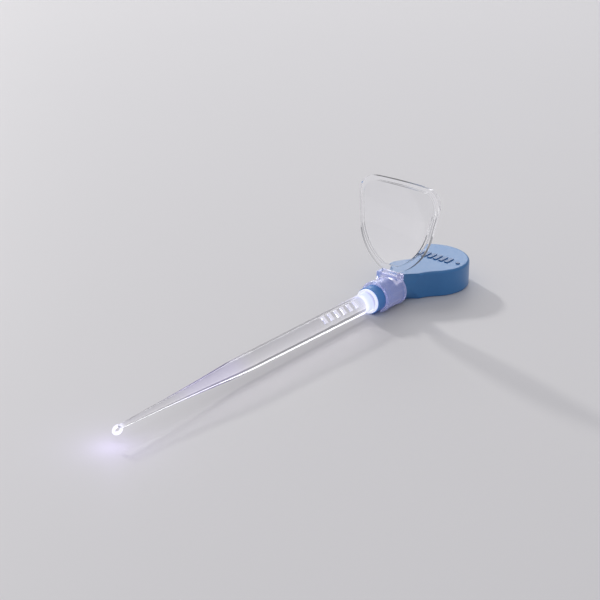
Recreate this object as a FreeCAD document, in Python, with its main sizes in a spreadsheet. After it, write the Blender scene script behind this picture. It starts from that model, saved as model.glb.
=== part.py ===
import FreeCAD, Part
import math
import os
import re
import Sketcher

# A lighted ear curette with a clip-on magnifier.  Millimetres, +Z up.
# The origin is the middle of the round head, on the surface the light rests on.
# The neck and the clear curette run along +X, and the magnifier stands on the neck.

doc = FreeCAD.newDocument("LightedCurette")

# ---------------------------------------------------------------- driving sizes
SIZES = [
    ("neck_reach", 22.4, "neck, from the wall of the cell well to its front"),
    ("neck_wall", 0.7, "neck, outside the bore of the lamp carrier"),
    ("flat_margin", 0.1, "top and bottom faces stand proud of the neck by this"),
    ("flank_radius", 16.0, "hollow curve from the head to the neck, seen from above"),
    ("neck_blend", 9.0, "curve that rounds the flat head into the neck"),
    ("neck_stock", 0.3, "extra width of the neck blank before it is turned round"),
    ("side_wall", 1.5, "wall round the cell"),
    ("flat_wall", 1.0, "top wall and bottom wall"),
    ("top_round", 0.9, "rounding of the top edge"),
    ("bottom_round", 0.6, "rounding of the bottom edge"),
    ("lip_width", 0.55, "locating lip on the lower half"),
    ("lip_height", 0.8, "locating lip on the lower half"),
    ("seat_gap", 0.05, "gap between parts that only locate each other"),
    ("slide_gap", 0.05, "radial gap of the parts that slide or turn"),
    ("cell_radius", 10.0, "20 mm coin cell"),
    ("cell_height", 3.2, "20 mm coin cell"),
    ("can_shoulder", 1.1, "cell can, crimped in over the cap"),
    ("cap_height", 1.4, "negative cap of the cell"),
    ("rim_step", 0.3, "the cap stands proud of the crimped rim by this"),
    ("gasket_wall", 0.75, "seal between cap and can"),
    ("film_thickness", 0.2, "insulating ring under the rim of the cell"),
    ("cradle_gap", 0.08, "cell in its cradle, and cradle in the case"),
    ("cradle_wall", 0.84, "ring that centres the cell"),
    ("cradle_gate", 6.8, "opening of the cradle for the contacts"),
    ("can_edge", 0.2, "bevel round the underside of the can, inwards"),
    ("can_round", 0.3, "bevels round the rims of the can"),
    ("cap_round", 0.5, "bevel round the cap"),
    ("film_gap", 0.1, "insulating ring's hole is larger than the cap by this"),
    ("film_lift", 0.02, "insulating ring above the underside of the cell"),
    ("socket_width", 0.55, "screw's hexagon socket, share of its head"),
    ("socket_depth", 0.6, "screw's hexagon socket, share of its head's height"),
    ("point_share", 0.33, "flat end of a screw's point, share of its shank"),
    ("sheet_thickness", 0.2, "contact sheet metal"),
    ("tab_width", 4.0, "negative contact"),
    ("finger_width", 2.2, "positive contact"),
    ("contact_tail", 6.0, "contacts reach this far behind the middle"),
    ("finger_drop", 0.6, "top of the carrier's bore down to the contact finger"),
    ("finger_setback", 0.3, "end of the contact finger, behind the lamp flange"),
    ("dimple_length", 0.7, "pressed contact point at the end of the finger"),
    ("dimple_ramp", 0.2, "slope at each end of the contact point"),
    ("step_gap", 1.6, "rise of the positive contact, from its hold-down ring"),
    ("tab_gap", 0.4, "tab of the negative contact, from the edge of the cell"),
    ("bore_relief", 1.4, "wide part of the neck bore reaches this far behind the carrier"),
    ("overcut", 1.0, "cuts run past the walls they go through by this"),
    ("press_inset", 2.5, "hold-down ring, inside the edge of the cell"),
    ("press_wall", 1.0, "hold-down ring under the top wall"),
    ("screw_radius", 0.7, "M1.4 thread-forming screw"),
    ("screw_head_radius", 1.2, "M1.4 screw head"),
    ("screw_head_height", 1.0, "M1.4 screw head"),
    ("screw_length", 5.0, "under the head"),
    ("screw_recess", 0.3, "screw head below the bottom face"),
    ("screw_bore_wall", 0.55, "wall between the screws and the neck bore"),
    ("screw_well_wall", 0.73, "wall between the screws and the cell well"),
    ("rod_radius", 3.15, "clear curette in the neck"),
    ("rod_draft", 0.43, "the long part of the curette is thinner at its front by this"),
    ("insert_depth", 9.9, "curette inside the neck"),
    ("rod_straight", 56.6, "long part of the curette in front of the neck"),
    ("rod_taper", 50.7, "tapered part of the curette"),
    ("rod_chamfer", 0.3, "edge of the curette's rear end"),
    ("shoulder_length", 12.0, "bowed start of the taper"),
    ("shoulder_drop", 0.44, "the curette gets thinner by this over the bowed start"),
    ("shoulder_curve", 203.0, "radius of the bowed start of the taper"),
    ("hollow_curve", 806.0, "radius of the hollow rest of the taper"),
    ("tip_radius", 0.7, "curette where it meets its loop"),
    ("loop_radius", 1.15, "middle line of the loop"),
    ("loop_wire", 0.42, "radius of the loop's section"),
    ("loop_tilt", 38.0, "degrees the loop dips from the rod's line"),
    ("loop_lift", 0.2, "back of the loop above the rod's line"),
    ("switch_travel", 1.05, "forward travel of the lamp carrier"),
    ("carrier_step", 0.3, "lamp carrier is larger than the curette by at least this"),
    ("carrier_wall", 1.2, "lamp carrier is larger than the lamp's flange by at least this"),
    ("carrier_length", 6.3, "lamp carrier, large diameter"),
    ("nose_gap", 0.05, "carrier nose to the end of the curette"),
    ("stop_gap", 0.05, "carrier to its stop at the end of its travel"),
    ("nose_length", 2.15, "lamp carrier, small diameter"),
    ("nose_flare", 0.9, "the carrier's mouth is wider than the lamp by this"),
    ("flare_start", 0.6, "widening of the carrier's mouth starts this far behind the lamp's front"),
    ("blade_inset", 0.2, "moving contact, from the back of the carrier"),
    ("flat_excess", 0.6, "flat of the carrier is longer than the moving contact by this"),
    ("lamp_radius", 1.5, "3 mm lamp"),
    ("lamp_length", 5.5, "3 mm lamp, with its flange"),
    ("flange_radius", 1.9, "3 mm lamp"),
    ("flange_length", 0.9, "3 mm lamp"),
    ("lead_pitch", 2.54, "lamp leads, centre to centre"),
    ("lead_side", 0.4, "square lamp leads"),
    ("lead_recess", 1.5, "hollow behind the lamp flange"),
    ("blade_length", 3.4, "moving contact"),
    ("blade_width", 1.8, "moving contact"),
    ("blade_thickness", 0.15, "moving contact"),
    ("spring_mean_radius", 2.15, "return spring"),
    ("spring_wire", 0.3, "return spring, wire diameter"),
    ("spring_turns", 4.5, "return spring"),
    ("grip_cord", 0.6, "section of the ring that grips the curette"),
    ("grip_setback", 2.6, "grip ring, behind the front of the neck"),
    ("ferrule_wall", 0.5, "clear ferrule in the mouth of the neck"),
    ("ferrule_flange", 0.8, "ferrule flange, along the neck"),
    ("ferrule_edge", 0.25, "ferrule flange, inside the edge of the neck"),
    ("ferrule_bevel", 0.2, "bevel round the outside of the ferrule's face"),
    ("mouth_break", 0.25, "bevel round the mouth of the ferrule"),
    ("collar_gap", 0.5, "collar in front of the start of the round neck"),
    ("collar_length", 9.6, "magnifier collar"),
    ("collar_wall", 0.95, "magnifier collar"),
    ("collar_waist", 0.25, "collar between its end beads is thinner by this"),
    ("bead_length", 1.4, "end beads of the collar"),
    ("collar_mouth", 4.2, "open underside of the collar"),
    ("pedestal_end_wall", 1.1, "block, in front of and behind the lens foot"),
    ("pedestal_side_wall", 0.9, "block, beside the lens foot"),
    ("pedestal_rise", 1.9, "block, above the neck"),
    ("lens_setback", 1.95, "middle of the lens foot, from the back of the collar"),
    ("lens_lean", 9.0, "degrees the lens leans back"),
    ("lens_thickness", 1.5, "magnifier plate"),
    ("foot_half_width", 3.0, "lens foot"),
    ("foot_bottom", 0.6, "lens foot above the datum of the lens outline"),
    ("foot_top", 2.5, "top of the parallel foot"),
    ("shoulder_half_width", 13.4, "lens where the lower curves meet the sides"),
    ("shoulder_height", 15.5, "lens where the lower curves meet the sides"),
    ("shoulder_bow", 17.5, "radius of the lower curves"),
    ("corner_half_width", 15.9, "lens top corners before rounding"),
    ("corner_height", 30.7, "lens top corners before rounding"),
    ("corner_round", 5.4, "rounding of the top corners"),
    ("crown_radius", 200.0, "bowed top of the lens"),
    ("lens_rim", 1.3, "flat rim round the magnifying surface"),
    ("face_bottom", 4.5, "bottom of the magnifying surface above the datum"),
    ("face_edge", 0.1, "straight part at each end of the magnifying surface's bottom"),
    ("face_middle", 17.4, "middle of the magnifying surface above the datum"),
    ("lens_bulge", 1.55, "height of each magnifying surface over the rim, in its middle"),
    ("lens_dome", 90.0, "radius of each magnifying surface"),
    ("mark_height", 0.3, "raised bars on the head"),
    ("mark_length", 3.8, "raised bars on the head"),
    ("mark_width", 1.25, "raised bars on the head"),
    ("mark_count", 8, "raised bars on the head"),
    ("mark_along", -1.0, "row of bars, from the middle of the head"),
    ("mark_inset", 3.65, "first bar, inside the edge of the head"),
    ("dot_inset", 2.75, "raised dot, inside the edge of the head"),
    ("dot_gap", 3.4, "last bar to the dot"),
    ("dot_radius", 0.65, "raised dot beside the bars"),
    ("tick_height", 0.2, "raised ticks on the curette"),
    ("tick_setback", 8.6, "first tick, in front of the neck"),
    ("tick_pitch", 3.0, "ticks on the curette"),
    ("tick_count", 6, "ticks on the curette"),
    ("tick_length", 1.2, "ticks on the curette, along it"),
    ("tick_width", 2.4, "ticks on the curette, across it"),
    ("tick_turn", 40.0, "degrees the ticks sit round from the top of the curette"),
]
sheet = doc.addObject("Spreadsheet::Sheet", "Sizes")
for row, (alias, value, note) in enumerate(SIZES, start=1):
    sheet.set("A%d" % row, alias)
    sheet.set("B%d" % row, str(value))
    sheet.setAlias("B%d" % row, alias)
    sheet.set("C%d" % row, note)
doc.recompute()

# Places and sizes that follow from the driving ones.
DERIVED = {
    "cavity_radius": "cell_radius + cradle_wall + 2 * cradle_gap",
    "head_radius": "cavity_radius + side_wall",
    "carrier_radius": "max(rod_radius + carrier_step; flange_radius + seat_gap + carrier_wall)",
    "neck_radius": "carrier_bore + neck_wall",
    "neck_end": "cavity_radius + neck_reach",
    "axis_height": "neck_radius + flat_margin",
    "case_height": "2 * axis_height",
    "blank_radius": "neck_radius + neck_stock",
    "flank_offset": "flank_radius + neck_radius + neck_stock",
    "neck_start": "sqrt((head_radius + flank_radius) ^ 2 - flank_offset ^ 2)",
    "round_start": "neck_start + collar_gap / 2",
    "bore_radius": "rod_radius + slide_gap",
    "carrier_bore": "carrier_radius + slide_gap",
    "spring_bore": "carrier_bore - carrier_step",
    "rod_start": "neck_end - insert_depth",
    "taper_start": "neck_end + rod_straight",
    "rod_end": "taper_start + rod_taper",
    "shaft_end_radius": "rod_radius - rod_draft",
    "tick_first": "neck_end + tick_setback",
    "screw_across": "bore_radius + screw_bore_wall + screw_radius",
    "screw_along": "sqrt((cavity_radius + screw_well_wall + screw_radius) ^ 2 - screw_across ^ 2)",
    "cap_radius": "cell_radius - can_shoulder",
    "press_outer": "cell_radius - press_inset",
    "nose_front": "rod_start - nose_gap",
    "shoulder_place": "nose_front - nose_length",
    "carrier_back": "shoulder_place - carrier_length",
    "stop_place": "shoulder_place + switch_travel + stop_gap",
    "nose_radius": "rod_radius - slide_gap",
    "cell_bottom": "flat_wall + sheet_thickness",
    "cell_top": "cell_bottom + cell_height",
    "can_bottom": "cell_bottom + rim_step",
    "cap_top": "cell_bottom + cap_height",
    "finger_top": "axis_height + carrier_bore - finger_drop",
    "finger_bottom": "finger_top - sheet_thickness",
    "blade_top": "finger_bottom - 2 * seat_gap",
    "blade_bottom": "blade_top - blade_thickness",
    "tab_place": "cell_radius + tab_gap",
    "tab_top": "axis_height + spring_mean_radius - spring_wire / 2",
    "step_place": "press_outer + step_gap",
    "spring_start": "tab_place + sheet_thickness + seat_gap + spring_wire / 2",
    "spring_end": "carrier_back - seat_gap - spring_wire / 2",
    "flange_back": "carrier_back + lead_recess",
    "lamp_front": "flange_back + lamp_length",
    "grip_place": "neck_end - grip_setback",
    "grip_middle": "rod_radius + slide_gap / 2 + grip_cord / 2",
    "collar_back": "neck_start + collar_gap",
    "collar_front": "collar_back + collar_length",
    "collar_bore": "neck_radius + slide_gap",
    "collar_radius": "collar_bore + collar_wall",
    "pedestal_length": "lens_thickness + 2 * pedestal_end_wall",
    "pedestal_width": "2 * (foot_half_width + pedestal_side_wall)",
    "pedestal_top": "lens_datum + pedestal_rise",
    "ferrule_outer": "bore_radius + ferrule_wall",
    "ferrule_back": "grip_place + grip_cord / 2 + seat_gap",
    "ferrule_front": "neck_end + ferrule_flange",
    "dot_across": "head_radius - dot_inset",
    "mark_first": "mark_inset - head_radius",
    "mark_pitch": "(dot_across - dot_gap - mark_first) / (mark_count - 1)",
    "lens_place": "collar_back + lens_setback",
    "dome_reach": "lens_dome - lens_thickness / 2 - lens_bulge",
    "lens_datum": "axis_height + neck_radius - seat_gap",
}
ALIASES = {alias for alias, value, note in SIZES}


def expand(text):
    """Write out the derived names in an expression, and point the others at the sheet."""
    def swap(match):
        word = match.group(0)
        if word in DERIVED:
            return "(" + expand(DERIVED[word]) + ")"
        return "Sizes." + word if word in ALIASES else word
    return re.sub(r"[a-z][a-z0-9_]*", swap, text)


def size(text):
    """The value of an expression, as a plain number."""
    return float(sheet.evalExpression(expand(text)))


def bind(item, **expressions):
    """Set properties of a document object by expressions."""
    for name, text in expressions.items():
        item.setExpression(name.replace("__", "."), expand(text))


# ---------------------------------------------------------------- sketch helpers
def new_body(name):
    body = doc.addObject("PartDesign::Body", name)
    body.Label = name
    return body


def new_sketch(body, name, plane, offset=None):
    """A sketch on one of the body's own origin planes, moved along its normal by offset."""
    sketch = body.newObject("Sketcher::SketchObject", name)
    support = [part for part in body.Origin.OriginFeatures if part.Role == plane][0]
    sketch.AttachmentSupport = [(support, "")]
    sketch.MapMode = "FlatFace"
    if offset is not None:
        sketch.setExpression("AttachmentOffset.Base.z", expand(offset))
    doc.recompute()
    return sketch


def tilt_sketch(sketch, angle):
    """Turn a sketch's plane back about the sketch's own first axis."""
    place = sketch.AttachmentOffset.Base
    turned = FreeCAD.Rotation(FreeCAD.Vector(-1, 0, 0), size(angle))
    sketch.AttachmentOffset = FreeCAD.Placement(place, turned)
    sketch.setExpression("AttachmentOffset.Rotation.Angle", expand(angle))
    doc.recompute()


def fix_point(sketch, item, end, x, y):
    """Hold one end of a sketch element at x, y, each an expression or 0."""
    for axis, line, text in (("DistanceX", -2, x), ("DistanceY", -1, y)):
        if text == 0:
            sketch.addConstraint(Sketcher.Constraint("PointOnObject", item, end, line))
            continue
        number = sketch.addConstraint(Sketcher.Constraint(axis, item, end, size(text)))
        sketch.setExpression("Constraints[%d]" % number, expand(text))


def point(x, y):
    return FreeCAD.Vector(size(x) if x else 0, size(y) if y else 0, 0)


def bowed(sketch, start, end, radius, side):
    """An arc between two points. Its centre is on the left of the way there if side is 1, or -1."""
    chord = end - start
    half = chord.Length / 2
    across = FreeCAD.Vector(-chord.y, chord.x, 0).normalize() * side
    centre = (start + end) / 2 + across * math.sqrt(radius ** 2 - half ** 2)
    angles = [math.atan2(spot.y - centre.y, spot.x - centre.x) for spot in (start, end)]
    circle = Part.Circle(centre, FreeCAD.Vector(0, 0, 1), radius)
    sketch.addGeometry(Part.ArcOfCircle(circle, angles[side < 0], angles[side > 0]))


def draw_polygon(sketch, corners, arcs=None):
    """A closed run of lines through the corners, each a pair of expressions.

    arcs makes the line after a corner an arc instead, of a given radius and side.
    """
    arcs = arcs or {}
    first = sketch.GeometryCount
    count = len(corners)
    ends = []
    for index, corner in enumerate(corners):
        here = point(*corner)
        following = point(*corners[(index + 1) % count])
        radius, side = arcs.get(index, (None, 1))
        ends.append((1, 2) if side > 0 else (2, 1))
        if radius is None:
            sketch.addGeometry(Part.LineSegment(here, following))
        else:
            bowed(sketch, here, following, size(radius), side)
    link = Sketcher.Constraint
    for index, corner in enumerate(corners):
        before = (index - 1) % count
        meeting = (first + before, ends[before][1], first + index, ends[index][0])
        sketch.addConstraint(link("Coincident", *meeting))
        fix_point(sketch, first + index, ends[index][0], *corner)
    for index, (radius, side) in arcs.items():
        number = sketch.addConstraint(link("Radius", first + index, size(radius)))
        sketch.setExpression("Constraints[%d]" % number, expand(radius))


def draw_rectangle(sketch, x_low, x_high, y_low, y_high):
    draw_polygon(sketch, [(x_low, y_low), (x_high, y_low), (x_high, y_high), (x_low, y_high)])


def draw_circle(sketch, radius, x=0, y=0):
    item = sketch.addGeometry(Part.Circle(point(x, y), FreeCAD.Vector(0, 0, 1), size(radius)))
    if x == 0 and y == 0:
        sketch.addConstraint(Sketcher.Constraint("Coincident", item, 3, -1, 1))
    else:
        fix_point(sketch, item, 3, x, y)
    number = sketch.addConstraint(Sketcher.Constraint("Radius", item, size(radius)))
    sketch.setExpression("Constraints[%d]" % number, expand(radius))
    return item


def pad(body, sketch, name, length, both_ways=False, backwards=False):
    feature = body.newObject("PartDesign::Pad", name)
    feature.Profile = sketch
    feature.Midplane = both_ways
    feature.Reversed = backwards
    feature.setExpression("Length", expand(length))
    doc.recompute()
    return feature


def cut(body, sketch, name, length, backwards=False, both_ways=False):
    """A pocket, which has to take something away."""
    before = body.Shape.Volume
    feature = body.newObject("PartDesign::Pocket", name)
    feature.Profile = sketch
    feature.Midplane = both_ways
    feature.Reversed = backwards
    feature.setExpression("Length", expand(length))
    doc.recompute()
    if body.Shape.Volume >= before:
        raise RuntimeError(name + " takes nothing away")
    return feature


def turn(body, sketch, name, kind="PartDesign::Revolution"):
    """A full turn of a profile round the sketch's own horizontal line."""
    before = body.Shape.Volume if kind == "PartDesign::Groove" else None
    feature = body.newObject(kind, name)
    feature.Profile = sketch
    feature.ReferenceAxis = (sketch, ["H_Axis"])
    feature.Angle = 360
    doc.recompute()
    if before is not None and body.Shape.Volume >= before:
        raise RuntimeError(name + " takes nothing away")
    return feature


def soften(body, kind, name, value, wanted):
    """A fillet or chamfer on every edge of the body's last feature that wanted() picks."""
    base = body.Tip
    names = ["Edge%d" % (n + 1) for n, edge in enumerate(base.Shape.Edges) if wanted(edge)]
    feature = body.newObject("PartDesign::" + kind, name)
    feature.Base = (base, names)
    feature.setExpression("Radius" if kind == "Fillet" else "Size", expand(value))
    doc.recompute()
    return feature


def lies_at(edge, axis, place, slack=1e-4):
    """True where both ends and the middle of an edge lie at one coordinate."""
    middle = edge.valueAt((edge.FirstParameter + edge.LastParameter) / 2)
    ends = [vertex.Point for vertex in edge.Vertexes]
    return all(abs(getattr(spot, axis) - place) < slack for spot in ends + [middle])


# Sketches on the XZ plane have X along the neck and Y up the world's Z,
# so a height in them is given from the neck's middle line where they are turned.

# ---------------------------------------------------------------- case
def draw_case_outline(sketch):
    """The drop-shaped plan: a round head, two hollow flanks and the blank of the neck."""
    head = size("head_radius")
    flank = size("flank_radius")
    middle = FreeCAD.Vector(size("neck_start"), size("flank_offset"), 0)
    up = FreeCAD.Vector(0, 0, 1)
    lean = math.atan2(middle.y, middle.x)
    half = size("blank_radius")
    end = size("neck_end")
    other = FreeCAD.Vector(middle.x, -middle.y, 0)
    circle = Part.Circle
    sketch.addGeometry(Part.ArcOfCircle(circle(FreeCAD.Vector(), up, head), lean, 2 * math.pi - lean))
    sketch.addGeometry(Part.ArcOfCircle(circle(other, up, flank), math.pi / 2, math.pi - lean))
    sketch.addGeometry(Part.LineSegment(FreeCAD.Vector(middle.x, -half, 0), FreeCAD.Vector(end, -half, 0)))
    sketch.addGeometry(Part.LineSegment(FreeCAD.Vector(end, -half, 0), FreeCAD.Vector(end, half, 0)))
    sketch.addGeometry(Part.LineSegment(FreeCAD.Vector(end, half, 0), FreeCAD.Vector(middle.x, half, 0)))
    sketch.addGeometry(Part.ArcOfCircle(circle(middle, up, flank), math.pi + lean, 3 * math.pi / 2))
    link = Sketcher.Constraint
    sketch.addConstraint(link("Coincident", 0, 3, -1, 1))
    sketch.addConstraint(link("Tangent", 0, 2, 1, 2))
    sketch.addConstraint(link("Tangent", 1, 1, 2, 1))
    sketch.addConstraint(link("Coincident", 2, 2, 3, 1))
    sketch.addConstraint(link("Coincident", 3, 2, 4, 1))
    sketch.addConstraint(link("Tangent", 4, 2, 5, 2))
    sketch.addConstraint(link("Tangent", 5, 1, 0, 1))
    sketch.addConstraint(link("Horizontal", 2))
    sketch.addConstraint(link("Horizontal", 4))
    sketch.addConstraint(link("Vertical", 3))
    for item, radius in ((0, "head_radius"), (1, "flank_radius"), (5, "flank_radius")):
        number = sketch.addConstraint(link("Radius", item, size(radius)))
        sketch.setExpression("Constraints[%d]" % number, expand(radius))
    fix_point(sketch, 3, 1, "neck_end", "-blank_radius")
    number = sketch.addConstraint(link("DistanceY", 3, 2, half))
    sketch.setExpression("Constraints[%d]" % number, expand("blank_radius"))


def draw_neck_turning(sketch):
    """What a lathe takes off round the neck, from the middle line outwards."""
    start, radius, blend = size("round_start"), size("neck_radius"), size("neck_blend")
    over = size("neck_end + overcut")
    tangent = FreeCAD.Vector(start, radius, 0)
    top = FreeCAD.Vector(start - blend, radius + blend, 0)
    far_top = FreeCAD.Vector(over, radius + blend, 0)
    far = FreeCAD.Vector(over, radius, 0)
    arc = Part.Circle(FreeCAD.Vector(start, radius + blend, 0), FreeCAD.Vector(0, 0, 1), blend)
    sketch.addGeometry(Part.ArcOfCircle(arc, math.pi, 3 * math.pi / 2))
    sketch.addGeometry(Part.LineSegment(tangent, far))
    sketch.addGeometry(Part.LineSegment(far, far_top))
    sketch.addGeometry(Part.LineSegment(far_top, top))
    link = Sketcher.Constraint
    sketch.addConstraint(link("Tangent", 0, 2, 1, 1))
    sketch.addConstraint(link("Coincident", 1, 2, 2, 1))
    sketch.addConstraint(link("Coincident", 2, 2, 3, 1))
    sketch.addConstraint(link("Coincident", 3, 2, 0, 1))
    sketch.addConstraint(link("Horizontal", 1))
    sketch.addConstraint(link("Vertical", 2))
    number = sketch.addConstraint(link("Radius", 0, blend))
    sketch.setExpression("Constraints[%d]" % number, expand("neck_blend"))
    fix_point(sketch, 0, 3, "round_start", "neck_radius + neck_blend")
    fix_point(sketch, 2, 2, "neck_end + overcut", "neck_radius + neck_blend")


def turned_sketch(body, name):
    """A sketch on the XZ plane whose horizontal line is the middle line of the neck."""
    sketch = new_sketch(body, name, "XZ_Plane")
    sketch.setExpression("AttachmentOffset.Base.y", expand("axis_height"))
    doc.recompute()
    return sketch


def draw_flatted_circle(sketch, radius, flat):
    """A circle round the middle of the head, cut off by a straight line in front."""
    reach, place = size(radius), size(flat)
    turn_to = math.acos(place / reach)
    half = reach * math.sin(turn_to)
    circle = Part.Circle(FreeCAD.Vector(), FreeCAD.Vector(0, 0, 1), reach)
    sketch.addGeometry(Part.ArcOfCircle(circle, turn_to, 2 * math.pi - turn_to))
    sketch.addGeometry(Part.LineSegment(FreeCAD.Vector(place, -half, 0), FreeCAD.Vector(place, half, 0)))
    link = Sketcher.Constraint
    sketch.addConstraint(link("Coincident", 0, 3, -1, 1))
    sketch.addConstraint(link("Coincident", 0, 2, 1, 1))
    sketch.addConstraint(link("Coincident", 1, 2, 0, 1))
    sketch.addConstraint(link("Vertical", 1))
    number = sketch.addConstraint(link("Radius", 0, reach))
    sketch.setExpression("Constraints[%d]" % number, expand(radius))
    number = sketch.addConstraint(link("DistanceX", 1, 1, place))
    sketch.setExpression("Constraints[%d]" % number, expand(flat))


def make_case_half(name, upper):
    """One half of the case, with the cell well, the neck bore and the groove of the grip ring."""
    body = new_body(name)
    outline = new_sketch(body, name + "_outline", "XY_Plane", "axis_height" if upper else None)
    draw_case_outline(outline)
    pad(body, outline, name + "_block", "axis_height")
    face = size("case_height") if upper else 0.0
    front = size("neck_end")
    soften(body, "Fillet", name + "_edge", "top_round" if upper else "bottom_round",
           lambda edge: lies_at(edge, "z", face) and not lies_at(edge, "x", front))
    turning = turned_sketch(body, name + "_turning")
    draw_neck_turning(turning)
    turn(body, turning, name + "_neck", "PartDesign::Groove")
    well = new_sketch(body, name + "_well", "XY_Plane", "axis_height")
    draw_circle(well, "cavity_radius")
    cut(body, well, name + "_cell_well", "axis_height - flat_wall", backwards=upper)
    bore = turned_sketch(body, name + "_bore")
    draw_polygon(bore, [("spring_start", 0), ("neck_end + overcut", 0), ("neck_end + overcut", "bore_radius"),
                        ("stop_place", "bore_radius"), ("stop_place", "carrier_bore"),
                        ("carrier_back - bore_relief", "carrier_bore"),
                        ("carrier_back - bore_relief", "spring_bore"),
                        ("spring_start", "spring_bore")])
    turn(body, bore, name + "_neck_bore", "PartDesign::Groove")
    ring = turned_sketch(body, name + "_ring")
    draw_rectangle(ring, "grip_place - grip_cord / 2 - seat_gap", "grip_place + grip_cord / 2 + seat_gap",
                   "bore_radius - overcut", "grip_middle + grip_cord / 2 + seat_gap / 2")
    turn(body, ring, name + "_grip_groove", "PartDesign::Groove")
    mouth = turned_sketch(body, name + "_mouth")
    draw_rectangle(mouth, "ferrule_back", "neck_end + overcut", "bore_radius - overcut",
                   "ferrule_outer + seat_gap / 2")
    turn(body, mouth, name + "_ferrule_seat", "PartDesign::Groove")
    return body


def make_lower_shell():
    """Lower half: locating lip, and two stepped holes that hide the screw heads."""
    body = make_case_half("lower_shell", upper=False)
    lip = new_sketch(body, "lower_lip", "XY_Plane", "axis_height")
    draw_circle(lip, "cavity_radius")
    draw_circle(lip, "cavity_radius + lip_width")
    pad(body, lip, "lower_lip_ring", "lip_height")
    gate = new_sketch(body, "lower_gate", "XY_Plane", "axis_height")
    draw_rectangle(gate, "head_radius / 2", "head_radius + overcut", "-head_radius", "head_radius")
    cut(body, gate, "lower_lip_gate", "lip_height + overcut", backwards=True)
    for side, across in (("left", "screw_across"), ("right", "-screw_across")):
        hole = new_sketch(body, "lower_hole_" + side, "XY_Plane")
        draw_circle(hole, "screw_radius + seat_gap", "screw_along", across)
        cut(body, hole, "lower_screw_hole_" + side, "case_height", backwards=True)
        recess = new_sketch(body, "lower_recess_" + side, "XY_Plane")
        draw_circle(recess, "screw_head_radius + seat_gap", "screw_along", across)
        cut(body, recess, "lower_head_recess_" + side, "screw_recess + screw_head_height", backwards=True)
    return body


def make_upper_shell():
    """Upper half: recess for the lip, hold-down ring, screw holes and the raised marks."""
    body = make_case_half("upper_shell", upper=True)
    recess = new_sketch(body, "upper_recess", "XY_Plane", "axis_height")
    draw_flatted_circle(recess, "cavity_radius + lip_width + seat_gap", "head_radius / 2 + seat_gap")
    cut(body, recess, "upper_lip_recess", "lip_height + seat_gap", backwards=True)
    press = new_sketch(body, "upper_press", "XY_Plane", "cell_top + sheet_thickness + seat_gap")
    draw_circle(press, "press_outer")
    draw_circle(press, "press_outer - press_wall")
    pad(body, press, "upper_press_ring",
        "case_height - flat_wall / 2 - cell_top - sheet_thickness - seat_gap")
    for side, across in (("left", "screw_across"), ("right", "-screw_across")):
        hole = new_sketch(body, "upper_hole_" + side, "XY_Plane", "axis_height")
        draw_circle(hole, "screw_radius", "screw_along", across)
        cut(body, hole, "upper_screw_hole_" + side,
            "screw_recess + screw_head_height + screw_length + 2 * seat_gap - axis_height", backwards=True)
    for index in range(int(size("mark_count"))):
        mark = new_sketch(body, "upper_mark_%d" % index, "XY_Plane", "case_height")
        middle = "(mark_first + %d * mark_pitch)" % index
        draw_rectangle(mark, "mark_along - mark_length / 2", "mark_along + mark_length / 2",
                       middle + " - mark_width / 2", middle + " + mark_width / 2")
        pad(body, mark, "upper_bar_%d" % index, "mark_height")
    dot = new_sketch(body, "upper_dot", "XY_Plane", "case_height")
    draw_circle(dot, "dot_radius", "mark_along", "dot_across")
    pad(body, dot, "upper_round_mark", "mark_height")
    return body


# ---------------------------------------------------------------- cell and its contacts
def make_cell_cradle():
    """Plastic ring that centres the cell, open in front for the two contacts."""
    body = new_body("cell_cradle")
    ring = new_sketch(body, "cradle_ring", "XY_Plane", "flat_wall")
    draw_circle(ring, "cell_radius + cradle_gap")
    draw_circle(ring, "cavity_radius - cradle_gap")
    pad(body, ring, "cradle_wall", "sheet_thickness + cell_height - seat_gap")
    gate = new_sketch(body, "cradle_gate_outline", "XY_Plane", "flat_wall")
    draw_rectangle(gate, "cell_radius / 2", "head_radius", "-cradle_gate / 2", "cradle_gate / 2")
    cut(body, gate, "cradle_opening", "case_height", backwards=True)
    return body


def turn_upright(name, profile):
    """A body turned round the vertical line through the middle of the head."""
    body = new_body(name)
    sketch = new_sketch(body, name + "_profile", "XZ_Plane")
    draw_polygon(sketch, profile)
    feature = body.newObject("PartDesign::Revolution", name + "_turned")
    feature.Profile = sketch
    feature.ReferenceAxis = (sketch, ["V_Axis"])
    feature.Angle = 360
    doc.recompute()
    return body


def make_cell():
    """The coin cell: steel can, negative cap and the seal between them."""
    inner = "cap_radius + gasket_wall"
    turn_upright("cell_can", [
        (0, "cap_top"), (inner, "cap_top"), (inner, "can_bottom"), ("cell_radius - can_edge", "can_bottom"),
        ("cell_radius", "can_bottom + can_round"), ("cell_radius", "cell_top - can_round"),
        ("cell_radius - can_round", "cell_top"), (0, "cell_top")])
    turn_upright("cell_cap", [
        (0, "cell_bottom"), ("cap_radius - cap_round", "cell_bottom"), ("cap_radius", "cell_bottom + cap_round"),
        ("cap_radius", "cap_top"), (0, "cap_top")])
    turn_upright("cell_gasket", [
        ("cap_radius", "can_bottom"), (inner, "can_bottom"),
        (inner, "cap_top"), ("cap_radius", "cap_top")])


def make_strip(name, corners, width):
    """Sheet metal of one width, bent in the middle plane of the light."""
    body = new_body(name)
    sketch = new_sketch(body, name + "_bend", "XZ_Plane")
    draw_polygon(sketch, corners)
    pad(body, sketch, name + "_sheet", width, both_ways=True)
    return body


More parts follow.
